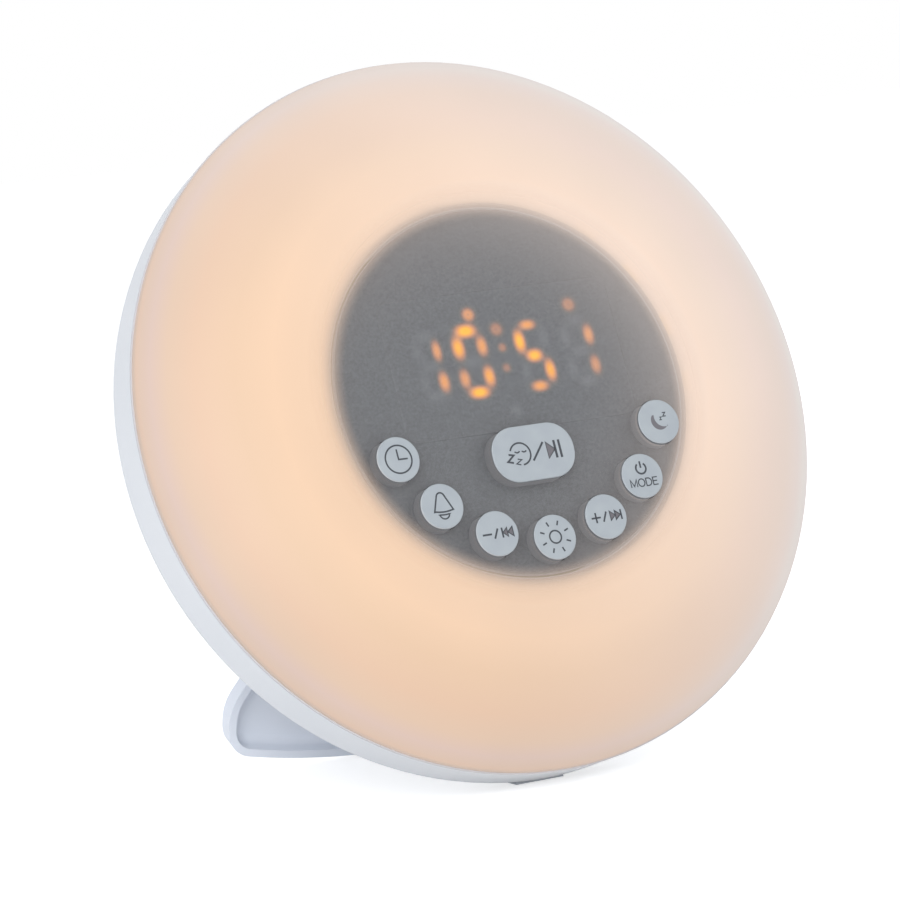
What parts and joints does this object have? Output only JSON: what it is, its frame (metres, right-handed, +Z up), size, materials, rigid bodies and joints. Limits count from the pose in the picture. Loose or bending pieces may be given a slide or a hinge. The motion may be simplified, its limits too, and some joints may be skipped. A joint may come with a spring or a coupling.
{
  "type": "sunrise alarm clock",
  "caption": "Round sunrise alarm clock: glowing opal disc face with a blurred digital display, an arc of push buttons and a fold-out rear stand.",
  "frame": {"origin": "on the surface that the clock stands on, under the middle of the whole clock", "axes": "+X to the right of someone who reads the display, -Y towards them, +Z up"},
  "size_m": [0.17, 0.0916, 0.1649],
  "materials": {
    "opal_lens": "opal diffuser, lit warm from within",
    "white_housing": "moulded white ABS, satin gloss",
    "white_stand": "moulded white ABS, satin gloss",
    "foot_rubber": "pale grey soft rubber",
    "hinge_steel": "ground pin",
    "smoke_mask": "smoke grey plate",
    "smoke_film": "smoke grey film",
    "black_epoxy": "potted display block",
    "segment_lit": "lit orange segment",
    "segment_dark": "unlit segment",
    "green_board": "green solder mask on glass-epoxy",
    "white_board": "white solder mask on glass-epoxy",
    "switch_black": "moulded switch bodies",
    "chip_black": "moulded chip package",
    "socket_nylon": "natural nylon",
    "capacitor_can": "drawn can",
    "screw_steel": "zinc-plated screw",
    "reflector_white": "matt white reflector",
    "led_lens": "phosphor under clear resin",
    "speaker_steel": "pressed basket, black",
    "speaker_paper": "pulp cone",
    "speaker_magnet": "ferrite with plate",
    "inlet_black": "moulded inlet",
    "cell_steel": "nickelled can",
    "contact_brass": "plated spring contact",
    "cable_red": "PVC insulation",
    "cable_black": "PVC insulation",
    "button_cap": "moulded cap, fine satin"
  },
  "bodies": {
    "head": {"base_foot": "foot_rubber", "board_cable": "cable_red", "board_capacitors": "capacitor_can", "board_screws": "screw_steel", "board_socket": "socket_nylon", "cell_contacts": "contact_brass", "cell_door": "white_housing", "coin_cell": "cell_steel", "control_board": "green_board", "controller_chip": "chip_black", "display_film": "smoke_film", "display_mask": "smoke_mask", "display_module": "black_epoxy", "door_screw": "screw_steel", "front_diffuser": "opal_lens", "lamp_cable": "cable_red", "lamp_leds": "led_lens", "lamp_ring_board": "white_board", "pan_screws": "screw_steel", "power_board": "green_board", "power_inlet": "inlet_black", "power_parts": "switch_black", "power_screws": "screw_steel", "radio_chip": "chip_black", "rear_housing": "white_housing", "reflector_pan": "reflector_white", "segments_dark": "segment_dark", "segments_lit": "segment_lit", "sound_chip": "chip_black", "speaker_basket": "speaker_steel", "speaker_cable": "cable_black", "speaker_cone": "speaker_paper", "speaker_magnet": "speaker_magnet", "stand_hinge_pins": "hinge_steel", "tact_switches": "switch_black"},
    "stand": {"stand_leaf": "white_stand", "stand_foot_pad": "foot_rubber"},
    "clock_key": {"button_clock": "button_cap"},
    "bell_key": {"button_bell": "button_cap"},
    "previous_key": {"button_previous": "button_cap"},
    "light_key": {"button_light": "button_cap"},
    "next_key": {"button_next": "button_cap"},
    "mode_key": {"button_mode": "button_cap"},
    "sleep_key": {"button_sleep": "button_cap"},
    "snooze_key": {"button_snooze": "button_cap"}
  },
  "joints": [
    {"name": "stand_hinge", "type": "hinge", "parent": "head", "child": "stand", "pos_m": [0, 0.01904, 0.09561], "axis": [-1, 0, 0], "range_deg": [0, 33.9]},
    {"name": "clock_press", "type": "slide", "parent": "head", "child": "clock_key", "axis": [0, 0.9438, -0.3305], "range_m": [0, 0.0006], "stiffness_N_per_m": 2500},
    {"name": "bell_press", "type": "slide", "parent": "head", "child": "bell_key", "axis": [0, 0.9438, -0.3305], "range_m": [0, 0.0006], "stiffness_N_per_m": 2500},
    {"name": "previous_press", "type": "slide", "parent": "head", "child": "previous_key", "axis": [0, 0.9438, -0.3305], "range_m": [0, 0.0006], "stiffness_N_per_m": 2500},
    {"name": "light_press", "type": "slide", "parent": "head", "child": "light_key", "axis": [0, 0.9438, -0.3305], "range_m": [0, 0.0006], "stiffness_N_per_m": 2500},
    {"name": "next_press", "type": "slide", "parent": "head", "child": "next_key", "axis": [0, 0.9438, -0.3305], "range_m": [0, 0.0006], "stiffness_N_per_m": 2500},
    {"name": "mode_press", "type": "slide", "parent": "head", "child": "mode_key", "axis": [0, 0.9438, -0.3305], "range_m": [0, 0.0006], "stiffness_N_per_m": 2500},
    {"name": "sleep_press", "type": "slide", "parent": "head", "child": "sleep_key", "axis": [0, 0.9438, -0.3305], "range_m": [0, 0.0006], "stiffness_N_per_m": 2500},
    {"name": "snooze_press", "type": "slide", "parent": "head", "child": "snooze_key", "axis": [0, 0.9438, -0.3305], "range_m": [0, 0.0006], "stiffness_N_per_m": 2500}
  ]
}
